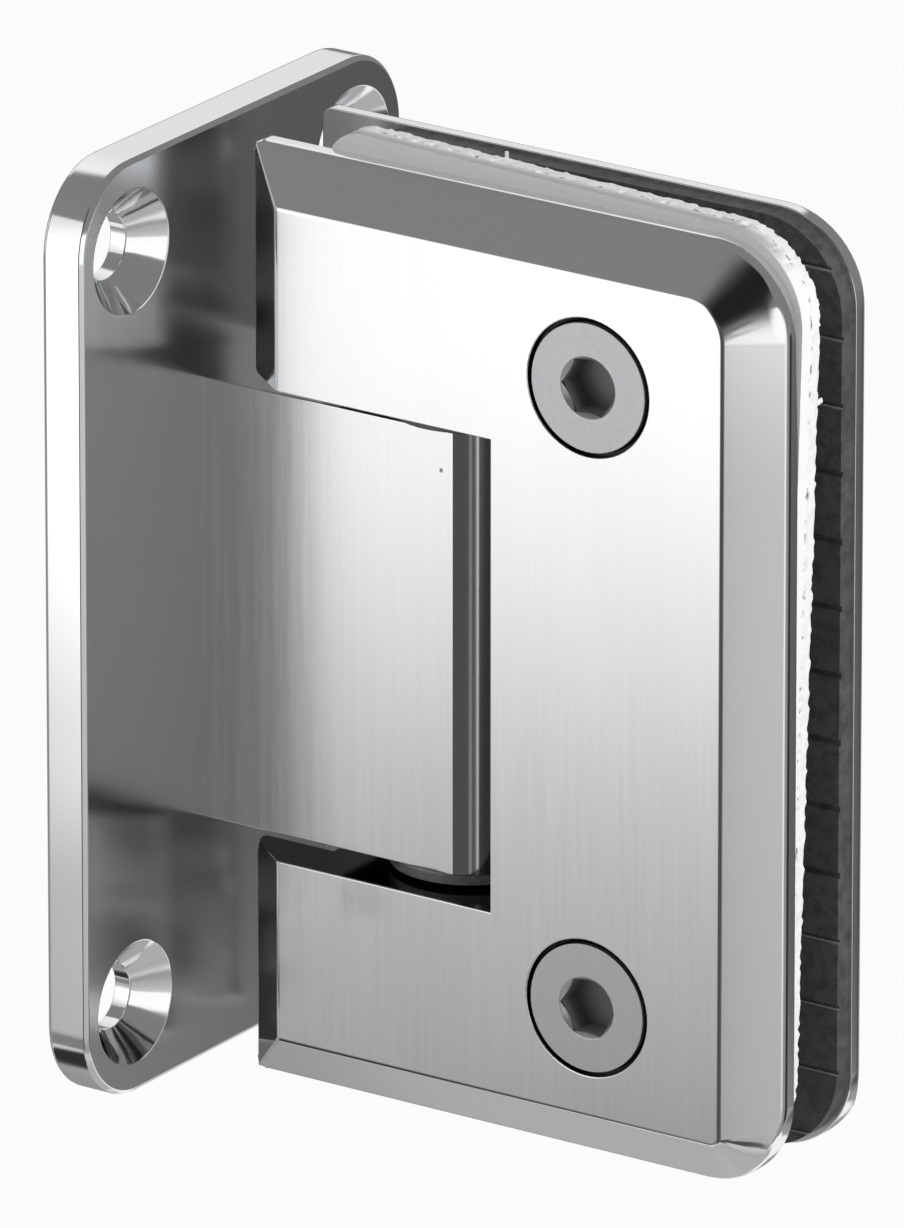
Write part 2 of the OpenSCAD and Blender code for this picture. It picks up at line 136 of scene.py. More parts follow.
class Bench:
    """Node tree of one material, with short calls that add and join its nodes."""

    def __init__(self, name: str) -> None:
        """Starts an empty node tree.

        Args:
            name: Name of the new material.
        """
        self.material = bpy.data.materials.new(name)
        self.material.use_nodes = True
        self.tree = self.material.node_tree
        self.tree.nodes.clear()
        self.output = self.tree.nodes.new("ShaderNodeOutputMaterial")

    def add(self, kind: str, values: dict | None = None, **settings: object) -> bpy.types.Node:
        """Adds a node.

        Args:
            kind: Blender's name of the node type.
            values: Input values by socket name or number, or sockets to join to them.
            **settings: Properties of the node itself.

        Returns:
            The new node.
        """
        node = self.tree.nodes.new(kind)
        for key, value in settings.items():
            setattr(node, key, value)
        for key, value in (values or {}).items():
            if isinstance(value, Socket):
                self.tree.links.new(value, node.inputs[key])
            else:
                node.inputs[key].default_value = value
        return node

    def math(self, operation: str, first: object, second: object = 0.0) -> Socket:
        """Adds a math node on one or two numbers or sockets and returns its result."""
        return self.add("ShaderNodeMath", {0: first, 1: second}, operation=operation).outputs[0]

    def times(self, *factors: object) -> Socket:
        """Multiplies two or more numbers or sockets and returns the product."""
        return functools.reduce(lambda one, two: self.math("MULTIPLY", one, two), factors)

    def below(self, value: Socket, limit: float) -> Socket:
        """Tests whether a number is below a limit and returns 1 or 0."""
        return self.math("LESS_THAN", value, limit)

    def close_to(self, value: Socket, target: float, reach: float) -> Socket:
        """Tests whether a number lies within reach of a target and returns 1 or 0."""
        return self.add("ShaderNodeMath", {0: value, 1: target, 2: reach},
                        operation="COMPARE").outputs[0]

    def ramp(self, value: Socket, low: float, high: float,
             to_low: float = 0.0, to_high: float = 1.0) -> Socket:
        """Maps a number smoothly from one range to another and returns the result.

        Args:
            value: Number to map.
            low: Value that gives to_low.
            high: Value that gives to_high.
            to_low: Result at and before low.
            to_high: Result at and after high.

        Returns:
            The result's socket.
        """
        node = self.add("ShaderNodeMapRange",
                        {"Value": value, "From Min": low, "From Max": high,
                         "To Min": to_low, "To Max": to_high},
                        interpolation_type="SMOOTHSTEP")
        return node.outputs["Result"]

    def swing(self, noise: Socket, low: float, high: float) -> Socket:
        """Maps the middle of a noise's range, where nearly all of it lies, to another."""
        return self.ramp(noise, NOISE_LOW, NOISE_HIGH, low, high)

    def tint(self, tone: Socket, colour: Colour) -> Socket:
        """Dims a colour by a brightness from 0 to 1 and returns the result."""
        parts = {i: self.times(tone, part) for i, part in enumerate(colour)}
        return self.add("ShaderNodeCombineColor", parts).outputs[0]

    def place(self) -> Place:
        """Adds the object's own coordinates and returns them."""
        source = self.add("ShaderNodeTexCoord").outputs
        parts = self.add("ShaderNodeSeparateXYZ", {0: source["Object"]}).outputs
        facing = self.add("ShaderNodeSeparateXYZ", {0: source["Normal"]}).outputs
        return Place(source["Object"], *parts, *facing)

    def noise(self, vector: Socket, stretch: tuple[float, float, float],
              scale: float, detail: float, roughness: float) -> Socket:
        """Adds stretched noise and returns its strength.

        Args:
            vector: Coordinates in metres.
            stretch: Factor on each axis; a small one draws the noise out along it.
            scale: Features per metre across the stroke.
            detail: Number of finer layers.
            roughness: Strength of the finer layers.

        Returns:
            The noise's socket, from 0 to 1.
        """
        mapping = self.add("ShaderNodeMapping", {"Vector": vector, "Scale": stretch})
        node = self.add("ShaderNodeTexNoise",
                        {"Vector": mapping.outputs[0], "Scale": scale, "Detail": detail,
                         "Roughness": roughness})
        return node.outputs["Fac"]

    def mix(self, factor: object, first: object, second: object) -> Socket:
        """Mixes two colours by the second one's share and returns the result."""
        return self.add("ShaderNodeMix", {0: factor, 6: first, 7: second},
                        data_type="RGBA").outputs[2]

    def blend(self, factor: object, first: object, second: object) -> Socket:
        """Mixes two numbers by the second one's share and returns the result."""
        return self.add("ShaderNodeMix", {0: factor, 2: first, 3: second},
                        data_type="FLOAT").outputs[0]

    def bump(self, strength: object, depth: float, height: Socket) -> Socket:
        """Adds fine relief, with its depth in millimetres, and returns the normal."""
        return self.add("ShaderNodeBump", {"Strength": strength, "Distance": depth * MM,
                                           "Height": height}).outputs[0]

    def surface(self, values: dict) -> Material:
        """Adds the shader with its input values and returns the finished material."""
        return self.finish(self.add("ShaderNodeBsdfPrincipled", values))

    def finish(self, shader: bpy.types.Node) -> Material:
        """Joins the shader to the output and returns the finished material."""
        self.tree.links.new(shader.outputs[0], self.output.inputs["Surface"])
        return self.material


@dataclass(frozen=True)
class Mark:
    """Small dark mark on a face turned to the front, in millimetres, soft beyond its core."""

    x: float
    z: float
    half_width: float
    half_height: float
    strength: float
    core: float = 0.1


@dataclass(frozen=True)
class SatinMetal:
    """Satin faces brushed up and down, with polished slopes, edges and rims."""

    name: str
    colour: Colour = (0.86, 0.87, 0.88)
    polished_colour: Colour = (0.87, 0.88, 0.89)
    marks: tuple[Mark, ...] = ()
    satin_roughness: float = 0.24
    polished_roughness: float = 0.09
    stroke_scale: float = 1500.0
    stroke_stretch: float = 0.035
    stroke_depth: float = 0.02
    stroke_tone: float = 0.04
    stroke_spread: float = 0.012
    cloud_scale: float = 110.0
    cloud_stretch: float = 0.25
    cloud_tone: float = 0.02
    tone_reach: float = 0.2
    darkest: float = 0.84
    bump_strength: float = 0.03
    anisotropy: float = 0.6
    satin_facing: tuple[float, float] = (0.965, 0.995)
    satin_from_x: float = -1.0
    satin_fade: float = 0.2
    plate_facing: tuple[float, float] = (0.97, 0.995)
    # whether to paint shade into the leaf's screw-head grooves, notch and wall-side bevel
    plate_roughness: float | None = None
    crevice_dark: bool = False
    # painted shade colours for the screw-head grooves, the notch floor and the lower arm's
    # wall-side bevel
    seat_colour: Colour = (0.02, 0.021, 0.022)
    notch_colour: Colour = (0.1, 0.102, 0.105)
    slope_colour: Colour = (0.3, 0.303, 0.306)
    slope_facing: float = -0.607
    slope_reach: float = 0.1
    slope_width: float = 6.0
    groove_depth: float = 0.12
    groove_slack: float = 0.02

    def material(self, sizes: HingeSizes) -> Material:
        """Builds the material.

        Args:
            sizes: Sizes that place the worked areas.

        Returns:
            The material.
        """
        bench = Bench(self.name)
        here = bench.place()
        satin = bench.times(bench.ramp(bench.math("ABSOLUTE", here.facing_y), *self.satin_facing),
                            bench.ramp(here.x, self.satin_from_x,
                                       self.satin_from_x + self.satin_fade * MM))
        strokes = bench.noise(here.vector, (1.0, 1.0, self.stroke_stretch), self.stroke_scale,
                              5.0, 0.62)
        clouds = bench.noise(here.vector, (1.0, 1.0, self.cloud_stretch), self.cloud_scale,
                             2.0, 0.5)
        stroke = bench.swing(strokes, -1.0, 1.0)
        tone = bench.math("ADD", bench.times(stroke, self.stroke_tone),
                          bench.times(bench.swing(clouds, -1.0, 1.0), self.cloud_tone))
        shade = bench.ramp(tone, -self.tone_reach, self.tone_reach, self.darkest, 1.0)
        for mark in self.marks:
            shade = self._mark(bench, mark, here, shade)
        base = bench.mix(satin, (*self.polished_colour, 1.0), bench.tint(shade, self.colour))
        smooth: object = self.polished_roughness
        if self.plate_roughness is not None:
            flat_on = bench.ramp(bench.math("ABSOLUTE", here.facing_x), *self.plate_facing)
            smooth = bench.math("ADD", smooth, bench.times(
                flat_on, self.plate_roughness - self.polished_roughness))
        rough = bench.math("ADD", self.satin_roughness, bench.times(stroke, self.stroke_spread))
        # paint shade into the screw-head grooves, the notch and the wall-side bevel
        if self.crevice_dark:
            base = self._darken_crevices(bench, sizes, here, base)
        relief = bench.bump(bench.times(satin, self.bump_strength), self.stroke_depth, strokes)
        tangent = bench.add("ShaderNodeTangent", direction_type="RADIAL", axis="Z").outputs[0]
        return bench.surface({"Base Color": base, "Metallic": 1.0,
                              "Roughness": bench.blend(satin, smooth, rough),
                              "Anisotropic": self.anisotropy,
                              "Normal": relief, "Tangent": tangent})

    @staticmethod
    def _mark(bench: Bench, mark: Mark, here: Place, shade: Socket) -> Socket:
        """Darkens a small patch of a front face.

        Args:
            bench: Node tree to add to.
            mark: Place, size and strength of the patch.
            here: Place of the shaded point.
            shade: Brightness of the metal.

        Returns:
            The brightness with the patch.
        """
        across = bench.math("DIVIDE", bench.math("SUBTRACT", here.x, mark.x * MM),
                            mark.half_width * MM)
        upward = bench.math("DIVIDE", bench.math("SUBTRACT", here.z, mark.z * MM),
                            mark.half_height * MM)
        offset = bench.add("ShaderNodeCombineXYZ", {0: across, 1: upward}).outputs[0]
        reach = bench.add("ShaderNodeVectorMath", {0: offset}, operation="LENGTH").outputs["Value"]
        cover = bench.times(bench.ramp(reach, mark.core, 1.0, mark.strength, 0.0),
                            bench.below(here.y, 0.0))
        return bench.times(shade, bench.math("SUBTRACT", 1.0, cover))

    def _darken_crevices(self, bench: Bench, sizes: HingeSizes, here: Place,
                         base: Socket) -> Socket:
        """Paints shade into the screw heads' grooves, the notch and the lower arm's wall side.

        Args:
            bench: Node tree to add to.
            sizes: Sizes that place the darkened areas.
            here: Place of the shaded point.
            base: Colour of the metal.

        Returns:
            The colour with the shade painted in.
        """
        height = bench.math("ABSOLUTE", here.z)
        below = bench.below(bench.math("ABSOLUTE", here.y),
                            (sizes.leaf_face_y - self.groove_depth) * MM)
        spot = bench.add("ShaderNodeCombineXYZ", {0: here.x, 1: height}).outputs[0]
        reach = bench.add("ShaderNodeVectorMath",
                          {0: spot, 1: (sizes.screw_x * MM, sizes.screw_z * MM, 0.0)},
                          operation="DISTANCE").outputs["Value"]
        seat = bench.times(bench.below(reach, (sizes.ring_d / 2 + self.groove_slack) * MM),
                           below, bench.below(here.y, 0.0))
        notch = bench.times(bench.below(here.x, (sizes.notch_x + self.groove_slack) * MM),
                            bench.below(height, (sizes.notch_h / 2 + self.groove_slack) * MM),
                            below)
        slope = bench.times(bench.close_to(here.facing_x, self.slope_facing, self.slope_reach),
                            bench.below(here.z, 0.0),
                            bench.below(here.x, (sizes.leaf_x0 + self.slope_width) * MM))
        # the painted shade of each area
        for area, colour in ((seat, self.seat_colour), (notch, self.notch_colour),
                             (slope, self.slope_colour)):
            base = bench.mix(area, base, (*colour, 1.0))
        return base


@dataclass(frozen=True)
class ScrewMetal:
    """Fine satin of a screw head, with painted shade down in its socket."""

    name: str = "screw_satin"
    colour: Colour = (0.6, 0.61, 0.625)
    roughness: float = 0.46
    roughness_reach: float = 0.04
    grit_scale: float = 2600.0
    grit_tone: float = 0.93
    grit_depth: float = 0.01
    bump_strength: float = 0.08
    # painted shade colour deep in the socket
    socket_colour: Colour = (0.2, 0.203, 0.207)
    socket_from: float = 0.35
    socket_depth: float = 0.55
    socket_dulling: float = 0.6

    def material(self, sizes: HingeSizes) -> Material:
        """Builds the material.

        Args:
            sizes: Sizes that place the sockets.

        Returns:
            The material.
        """
        bench = Bench(self.name)
        here = bench.place()
        grit = bench.noise(here.vector, EVEN, self.grit_scale, 4.0, 0.6)
        metal = bench.tint(bench.swing(grit, self.grit_tone, 1.0), self.colour)
        # painted shade: the socket turns darker and less metallic with depth
        start = (self.socket_from - sizes.leaf_face_y) * MM
        depth = bench.ramp(here.y, start, start + self.socket_depth * MM)
        base = bench.mix(depth, metal, (*self.socket_colour, 1.0))
        dull = bench.times(depth, self.socket_dulling)
        rough = bench.swing(grit, self.roughness - self.roughness_reach,
                            self.roughness + self.roughness_reach)
        return bench.surface({"Base Color": base, "Metallic": bench.math("SUBTRACT", 1.0, dull),
                              "Roughness": rough,
                              "Normal": bench.bump(self.bump_strength, self.grit_depth, grit)})


@dataclass(frozen=True)
class WorkedSteel:
    """Plain ground, drawn or blackened steel of the inner parts."""

    name: str
    colour: Colour
    roughness: float
    grain: Grain = Grain.PLAIN
    roughness_reach: float = 0.05
    mark_scale: float = 1800.0
    mark_tone: float = 0.85
    mark_depth: float = 0.01
    bump_strength: float = 0.15

    def material(self) -> Material:
        """Builds the material and returns it."""
        bench = Bench(self.name)
        marks = bench.noise(bench.place().vector, self.grain.value, self.mark_scale, 4.0, 0.55)
        base = bench.tint(bench.swing(marks, self.mark_tone, 1.0), self.colour)
        rough = bench.swing(marks, self.roughness - self.roughness_reach,
                            self.roughness + self.roughness_reach)
        return bench.surface({"Base Color": base, "Metallic": 1.0, "Roughness": rough,
                              "Normal": bench.bump(self.bump_strength, self.mark_depth, marks)})


@dataclass(frozen=True)
class Elastomer:
    """Matt rubber or foam, with a crumb that shows at its cut edges."""

    name: str
    colour: Colour
    shadow: Colour
    roughness: float = 0.85
    crumb_scale: float = 700.0
    crumb_depth: float = 0.12
    patch_scale: float = 90.0
    bump_strength: float = 0.5
    specular: float = 0.3
    cut_from_y: float | None = None
    cut_soft: float = 0.12
    cut_wander: float = 0.22
    wander_scale: float = 330.0
    break_scale: float = 950.0
    cut_line: tuple[float, float] = (0.02, 0.2)
    cut_colour: Colour = (0.2, 0.2, 0.2)
    smooth_colour: Colour = (0.93, 0.935, 0.94)
    # painted shade on the top faces of the gasket's smooth half, strongest at the front
    skin_colour: Colour = (0.5, 0.505, 0.51)
    skin_scale: float = 60.0
    skin_from_y: float = -4.3
    skin_to_y: float = -3.0
    skin_facing: tuple[float, float] = (0.55, 0.95)
    skin_least: float = 0.25
    groove_pitch: float | None = None
    groove_shift: float = 0.0
    # painted highlight: a light line on each groove's lower lip, placed by these fields
    groove_from_y: float = 0.0
    groove_from_z: float = 23.0
    lip_colour: Colour = (0.42, 0.43, 0.44)
    lip_drop: float = 0.2
    lip_half_width: float = 0.1

    def material(self) -> Material:
        """Builds the material and returns it."""
        bench = Bench(self.name)
        here = bench.place()
        crumb = bench.noise(here.vector, EVEN, self.crumb_scale, 6.0, 0.65)
        patches = bench.noise(here.vector, EVEN, self.patch_scale, 2.0, 0.5)
        tone = bench.times(bench.ramp(crumb, 0.35, 0.6), bench.ramp(patches, 0.25, 0.6, 0.6, 1.0))
        base = bench.mix(tone, (*self.shadow, 1.0), (*self.colour, 1.0))
        if self.cut_from_y is not None:
            base = self._two_halves(bench, here, base)
        # painted highlights along the grooves' lower lips
        if self.groove_pitch is not None:
            base = self._light_grooves(bench, here, base)
        return bench.surface({"Base Color": base, "Roughness": self.roughness,
                              "Specular IOR Level": self.specular,
                              "Normal": bench.bump(self.bump_strength, self.crumb_depth, crumb)})

    def _two_halves(self, bench: Bench, here: Place, crumb: Socket) -> Socket:
        """Keeps the crumb to the half of the edge beyond the cut; the other half is smooth, with
        painted shade on its top.

        Args:
            bench: Node tree to add to.
            here: Place of the shaded point.
            crumb: Colour of the crumbled half.

        Returns:
            The colour of both halves.
        """
        patches = bench.noise(here.vector, EVEN, self.skin_scale, 2.0, 0.5)
        # painted shade: top faces of the smooth half, stronger towards the front
        top_shade = bench.times(bench.ramp(here.facing_z, *self.skin_facing),
                           bench.ramp(here.y, self.skin_from_y * MM, self.skin_to_y * MM,
                                      1.0, self.skin_least),
                           bench.ramp(patches, 0.25, 0.6, 0.75, 1.0))
        smooth = bench.mix(top_shade, (*self.smooth_colour, 1.0), (*self.skin_colour, 1.0))
        wander = bench.noise(here.vector, EVEN, self.wander_scale, 3.0, 0.6)
        border = bench.math("ADD", here.y, bench.swing(wander, -self.cut_wander * MM,
                                                       self.cut_wander * MM))
        cut = bench.ramp(border, (self.cut_from_y - self.cut_soft) * MM,
                         (self.cut_from_y + self.cut_soft) * MM)
        base = bench.mix(cut, smooth, crumb)
        near = bench.math("ABSOLUTE", bench.math("SUBTRACT", border, self.cut_from_y * MM))
        line = bench.ramp(near, self.cut_line[0] * MM, self.cut_line[1] * MM, 1.0, 0.0)
        breaks = bench.noise(here.vector, EVEN, self.break_scale, 2.0, 0.5)
        marks = bench.times(line, bench.ramp(breaks, 0.53, 0.62))
        return bench.mix(marks, base, (*self.cut_colour, 1.0))

    def _light_grooves(self, bench: Bench, here: Place, base: Socket) -> Socket:
        """Paints a highlight on the lower lip of each groove, a thin light line on the dark rubber.

        Args:
            bench: Node tree to add to.
            here: Place of the shaded point.
            base: Colour of the rubber.

        Returns:
            The colour with the painted highlights.
        """
        turns = bench.math("DIVIDE", bench.math("SUBTRACT", here.z, self.groove_shift * MM),
                           self.groove_pitch * MM)
        part = bench.math("SUBTRACT", turns, bench.math("ROUND", turns))
        offset = bench.times(part, self.groove_pitch)
        glint = bench.times(bench.close_to(offset, -self.lip_drop, self.lip_half_width),
                          bench.math("GREATER_THAN", here.y, self.groove_from_y * MM),
                          bench.below(here.facing_y, -0.5),
                          bench.math("GREATER_THAN", bench.math("ABSOLUTE", here.z),
                                     self.groove_from_z * MM))
        return bench.mix(glint, base, (*self.lip_colour, 1.0))


def open_form(source: Piece) -> Form:
    """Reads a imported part's mesh into a form whose faces share their corners.

    Args:
        source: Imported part.

    Returns:
        The form.
    """
    form = bmesh.new()
    form.from_mesh(source.data)
    bmesh.ops.remove_doubles(form, verts=form.verts, dist=WELD)
    return form


def merge_flats(form: Form) -> None:
    """Merges the triangles of each flat face of a form."""
    bmesh.ops.dissolve_limit(form, angle_limit=math.radians(FLAT_ANGLE), verts=form.verts,
                             edges=form.edges, delimit={"NORMAL"})


def close_form(form: Form, name: str) -> Piece:
    """Makes a piece from a form.

    Args:
        form: Form, which is freed.
        name: Name of the piece.

    Returns:
        The piece.
    """
    mesh = bpy.data.meshes.new(name)
    form.to_mesh(mesh)
    form.free()
    piece = bpy.data.objects.new(name, mesh)
    bpy.context.scene.collection.objects.link(piece)
    return piece


def convex_edges(form: Form, low: float,
                 high: float = math.inf) -> list[bmesh.types.BMEdge]:
    """Finds the convex edges whose faces meet between two angles in degrees."""
    return [edge for edge in form.edges if len(edge.link_faces) == 2 and edge.is_convex
            and math.radians(low) < edge.calc_face_angle(0.0) <= math.radians(high)]


def round_edges(form: Form, edges: list[bmesh.types.BMEdge], width: float,
                segments: int, **settings: object) -> None:
    """Rounds edges of a form to a width in millimetres, with a number of strips."""
    bmesh.ops.bevel(form, geom=edges, offset=width * MM, offset_type="OFFSET",
                    segments=segments, profile=0.5, affect="EDGES", **settings)


@dataclass(frozen=True)
class CutEdge:
    """Rough outer edge of the pale gasket: a smooth half, then a crumbled and nicked half."""

    far_y: float = -1.7
    border_y: float = -3.15
    layers: tuple[float, ...] = (-3.45, -3.15, -2.85, -2.4, -2.0)
    step: float = 0.5
    span_x: tuple[float, float] = (8.0, 68.0)
    span_z: tuple[float, float] = (-46.0, 46.0)
    end_x: float = 64.0
    end_z: float = 43.0
    corner_x: float = 57.0
    corner_z: float = 34.0
    snap: float = 0.05
    ragged: float = 0.1
    inward: float = 0.65
    nick_depth: float = 0.35
    nick_share: float = 0.2
    lip_fall: float = 0.22
    lip_wear: float = 0.1
    seed: int = 7
    chips: tuple[tuple[float, ...], ...] = (
        (67.7, -1.3, 29.6, 0.6, 1.5, 0.55), (34.6, -1.75, 46.5, 0.35, 0.25, 1.2))
    chip_corners: tuple[tuple[float, ...], ...] = (
        (-0.5, -0.5, -0.4), (0.5, -0.5, -0.5), (0.45, -0.5, 0.4), (-0.4, -0.5, 0.5),
        (-0.3, 0.4, -0.5), (0.3, 0.5, -0.3), (0.2, 0.45, 0.5), (-0.2, 0.3, 0.35))

    def work(self, source: Piece, name: str) -> Piece:
        """Makes the gasket with its rough edge.

        Args:
            source: Packed gasket.
            name: Name of the new piece.

        Returns:
            The new piece, in the gasket's place.
        """
        form = open_form(source)
        merge_flats(form)
        self._divide(form)
        self._crumble(form)
        for chip in self.chips:
            self._chip(form, chip)
        return close_form(form, name)

    def _outline(self, form: Form, upright: bool) -> list[bmesh.types.BMFace]:
        """Finds the faces of the outer edge that run up and down, or those that run across.

        Args:
            form: Form of the gasket.
            upright: Whether the faces of the free end are wanted.

        Returns:
            The faces.
        """
        found = []
        for face in form.faces:
            centre = face.calc_center_median() / MM
            corner = centre.x > self.corner_x and abs(centre.z) > self.corner_z
            outer = corner or centre.x > self.end_x or abs(centre.z) > self.end_z
            along = abs(face.normal.x) > 0.5 if upright else abs(face.normal.z) > 0.5
            if outer and abs(face.normal.y) < 0.3 and along:
                found.append(face)
        return found

    def _divide(self, form: Form) -> None:
        """Divides the outer edge finely, so that it can be shaped.

        Args:
            form: Form of the gasket.
        """
        planes = [((0.0, y * MM, 0.0), (0.0, 1.0, 0.0), None) for y in self.layers]
        low, high = self.span_z
        planes += [((0.0, 0.0, (low + self.step * i) * MM), (0.0, 0.0, 1.0), True)
                   for i in range(1, int((high - low) / self.step))]
        low, high = self.span_x
        planes += [(((low + self.step * i) * MM, 0.0, 0.0), (1.0, 0.0, 0.0), False)
                   for i in range(1, int((high - low) / self.step))]
        for place, direction, upright in planes:
            if upright is None:
                faces = list({*self._outline(form, True), *self._outline(form, False)})
            else:
                faces = self._outline(form, upright)
            edges = {edge for face in faces for edge in face.edges}
            verts = {vertex for face in faces for vertex in face.verts}
            bmesh.ops.bisect_plane(form, geom=[*verts, *edges, *faces], dist=ON_PLANE,
                                   plane_co=place, plane_no=direction)

    def _crumble(self, form: Form) -> None:
        """Roughens the half beyond the border and sinks nicks along the border itself.

        Args:
            form: Form of the gasket.
        """
        form.normal_update()
        faces = {*self._outline(form, True), *self._outline(form, False)}
        verts = sorted({vertex for face in faces for vertex in face.verts},
                       key=lambda vertex: tuple(round(c / MM, 3) for c in vertex.co))
        draw = random.Random(self.seed)
        for vertex in verts:
            rough, nick, lip = draw.random(), draw.random(), draw.random()
            depth = vertex.co.y / MM
            outward = sum((face.normal for face in vertex.link_faces if face in faces), Vector())
            outward.y = 0.0
            outward.normalize()
            if depth > self.border_y - self.snap:
                vertex.co += outward * ((rough - self.inward) * self.ragged * MM)
            if abs(depth - self.border_y) < self.snap and nick < self.nick_share:
                vertex.co -= outward * (self.nick_depth * MM)
            if depth > self.far_y - self.snap:
                vertex.co.y -= lip * lip * self.lip_fall * MM
                vertex.co -= outward * (self.lip_wear * lip * MM)

    def _chip(self, form: Form, chip: tuple[float, ...]) -> None:
        """Adds a crumb that hangs on the edge.

        Args:
            form: Form of the gasket.
            chip: Middle of the crumb and its size on each axis, in millimetres.
        """
        middle, size = Vector(chip[:3]), Vector(chip[3:])
        verts = [form.verts.new((middle + Vector(corner) * size) * MM)
                 for corner in self.chip_corners]
        bmesh.ops.convex_hull(form, input=verts)


@dataclass(frozen=True)
class EdgeBreak:
    """Small rounding of a rigid part's edges, wider on blunt ones, so that they catch the light."""

    blunt: float = 0.3
    sharp: float = 0.12
    segments: int = 3
    least_angle: float = 24.0
    sharp_angle: float = 62.0

    def work(self, source: Piece, name: str, before: Reshape | None = None,
             after: Reshape | None = None) -> Piece:
        """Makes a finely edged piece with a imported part's faces.

        Args:
            source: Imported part.
            name: Name of the new piece.
            before: Change made to the form before its edges are rounded, if any.
            after: Change made to the form once its edges are rounded, if any.

        Returns:
            The new piece, in the part's place.
        """
        form = open_form(source)
        low, high = ([pick(vertex.co[axis] for vertex in form.verts) for axis in range(3)]
                     for pick in (min, max))
        if before is not None:
            before(form)
        merge_flats(form)
        for least, most, width in ((self.least_angle, self.sharp_angle, self.blunt),
                                   (self.sharp_angle, math.inf, self.sharp)):
            round_edges(form, convex_edges(form, least, most), width, self.segments,
                        clamp_overlap=False, miter_outer="ARC")
        if after is not None:
            after(form)
        for vertex in form.verts:
            vertex.co = [min(max(vertex.co[axis], low[axis]), high[axis]) for axis in range(3)]
        for face in form.faces:
            face.smooth = True
        for edge in form.edges:
            inner = len(edge.link_faces) == 2 and not edge.is_convex
            edge.smooth = not (inner and edge.calc_face_angle(0.0)
                               > math.radians(self.least_angle))
        piece = close_form(form, name)
        even = piece.modifiers.new("even shading", "WEIGHTED_NORMAL")
        even.mode = "FACE_AREA_WITH_ANGLE"
        even.weight = 50
        even.keep_sharp = True
        return piece


def dress(name: str, material: Material, edges: EdgeBreak | None = None,
          before: Reshape | None = None, after: Reshape | None = None) -> None:
    """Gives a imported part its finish, and its edges their rounding.

    Args:
        name: Name of the part.
        material: Finish of the part.
        edges: Rounding of the part's edges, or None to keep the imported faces.
        before: Change made to the part's form before its edges are rounded, if any.
        after: Change made to the part's form once its edges are rounded, if any.
    """
    node = frame["nodes"][name]
    piece = node
    if edges is not None:
        piece = edges.work(node, f"{name}_fine", before, after)
        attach(piece, node["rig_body"])
        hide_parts(name)
    piece.data.materials.clear()
    piece.data.materials.append(material)
    LOG.info("dressed %s in %s, %d faces", name, material.name, len(piece.data.polygons))


@dataclass
class WallBracket:
    """Wall plate and knuckle, cast in one, with satin knuckle faces."""

    sizes: HingeSizes
    edges: EdgeBreak = EdgeBreak(0.1, 0.1)
    pit: Mark = Mark(31.0, 17.5, 0.3, 0.34, 0.9)
    plate_roughness: float = 0.2
    satin_lead: float = 0.2
    back_round: float = 0.6
    back_segments: int = 4
    back_angle: float = 60.0
    outline_y: float = 22.5
    outline_z: float = 42.0

    def dress(self) -> None:
        """Gives the bracket its satin and polished finish."""
        metal = SatinMetal("bracket_satin", marks=(self.pit,), plate_roughness=self.plate_roughness,
                           satin_from_x=(self.sizes.plate_t - self.satin_lead) * MM)
        dress("wall_bracket", metal.material(self.sizes), self.edges, self.soften_back)

    def soften_back(self, form: Form) -> None:
        """Rounds the outline of the plate's back, which a grinding belt has softened."""
        edges = [edge for edge in convex_edges(form, self.back_angle)
                 if all(abs(vertex.co.x) < ON_PLANE for vertex in edge.verts)
                 and (max(abs(vertex.co.y) for vertex in edge.verts) > self.outline_y * MM
                      or max(abs(vertex.co.z) for vertex in edge.verts) > self.outline_z * MM)]
        round_edges(form, edges, self.back_round, self.back_segments, clamp_overlap=True)


